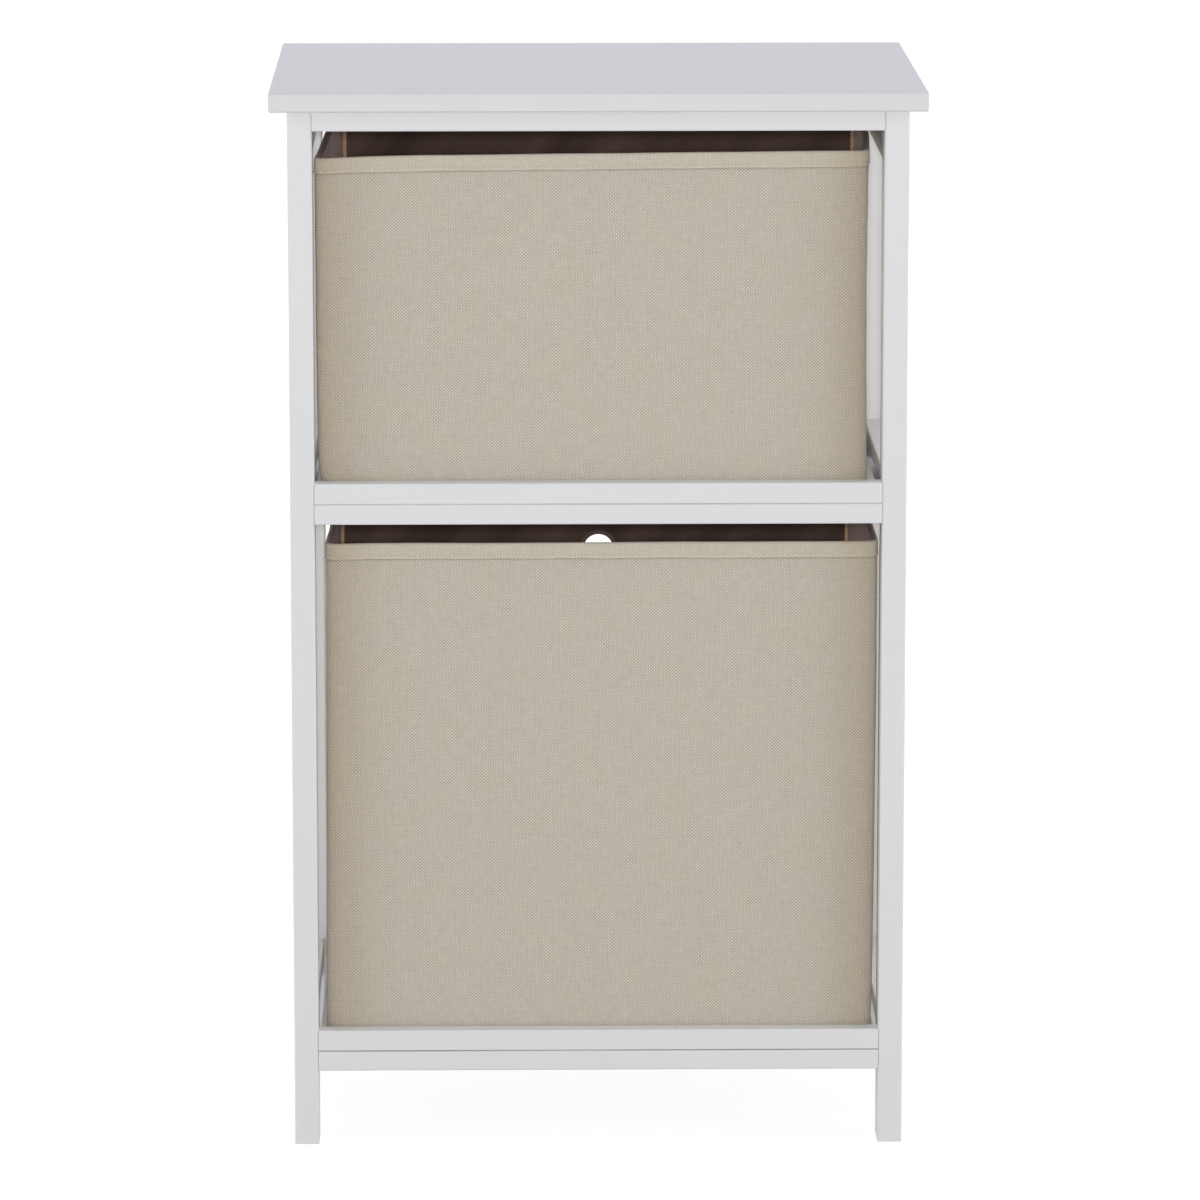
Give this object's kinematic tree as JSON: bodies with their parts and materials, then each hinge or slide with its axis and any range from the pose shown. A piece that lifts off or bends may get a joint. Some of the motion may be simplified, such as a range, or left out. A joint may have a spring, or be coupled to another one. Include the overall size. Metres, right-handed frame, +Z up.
{
  "type": "drawer storage unit",
  "caption": "Narrow white wooden frame stand with an overhanging top panel and fabric drawers with finger holes, for storing household things.",
  "frame": {"origin": "on the floor, under the middle of the top panel", "axes": "+Z up, +Y to the front where the drawers slide out, +X to the right as seen from the rear, which is the side that the picture shows"},
  "size_m": [0.4, 0.3, 0.658],
  "materials": {
    "top_paint": "satin white paint",
    "frame_paint": "satin white paint",
    "shelf_board": "painted hardboard, matt white",
    "dowel_wood": "bare beech",
    "zinc_steel": "zinc plated",
    "cap_plastic": "smooth white",
    "linen": "coarse natural linen weave",
    "linen_hem": "doubled linen, stitched",
    "brown_lining": "dark brown non-woven cloth",
    "stiffener": "grey-brown board"
  },
  "bodies": {
    "frame": {"top_panel": "top_paint", "rear_left_leg": "frame_paint", "rear_right_leg": "frame_paint", "front_left_leg": "frame_paint", "front_right_leg": "frame_paint", "left_bottom_side_rail": "frame_paint", "left_middle_side_rail": "frame_paint", "left_top_side_rail": "frame_paint", "right_bottom_side_rail": "frame_paint", "right_middle_side_rail": "frame_paint", "right_top_side_rail": "frame_paint", "rear_bottom_rail": "frame_paint", "rear_middle_rail": "frame_paint", "rear_top_rail": "frame_paint", "front_bottom_rail": "frame_paint", "front_middle_rail": "frame_paint", "front_top_rail": "frame_paint", "bottom_stop_strip": "frame_paint", "middle_stop_strip": "frame_paint", "bottom_shelf": "shelf_board", "middle_shelf": "shelf_board", "side_rail_dowels": "dowel_wood", "frame_screws": "zinc_steel", "screw_caps": "cap_plastic", "top_panel_screws": "zinc_steel", "stop_strip_screws": "zinc_steel", "shelf_tacks": "zinc_steel"},
    "upper_drawer": {"upper_drawer_cover": "linen", "upper_drawer_lining": "brown_lining", "upper_drawer_base_board": "stiffener", "upper_drawer_left_board": "stiffener", "upper_drawer_right_board": "stiffener", "upper_drawer_rear_board": "stiffener", "upper_drawer_front_board": "stiffener", "upper_drawer_rim_binding": "linen_hem", "upper_drawer_hole_edging": "linen_hem"},
    "lower_drawer": {"lower_drawer_cover": "linen", "lower_drawer_lining": "brown_lining", "lower_drawer_base_board": "stiffener", "lower_drawer_left_board": "stiffener", "lower_drawer_right_board": "stiffener", "lower_drawer_rear_board": "stiffener", "lower_drawer_front_board": "stiffener", "lower_drawer_rim_binding": "linen_hem", "lower_drawer_hole_edging": "linen_hem"}
  },
  "joints": [
    {"name": "upper_drawer_slide", "type": "slide", "parent": "frame", "child": "upper_drawer", "axis": [0, 1, 0], "range_m": [0, 0.24]},
    {"name": "lower_drawer_slide", "type": "slide", "parent": "frame", "child": "lower_drawer", "axis": [0, 1, 0], "range_m": [0, 0.24]}
  ]
}
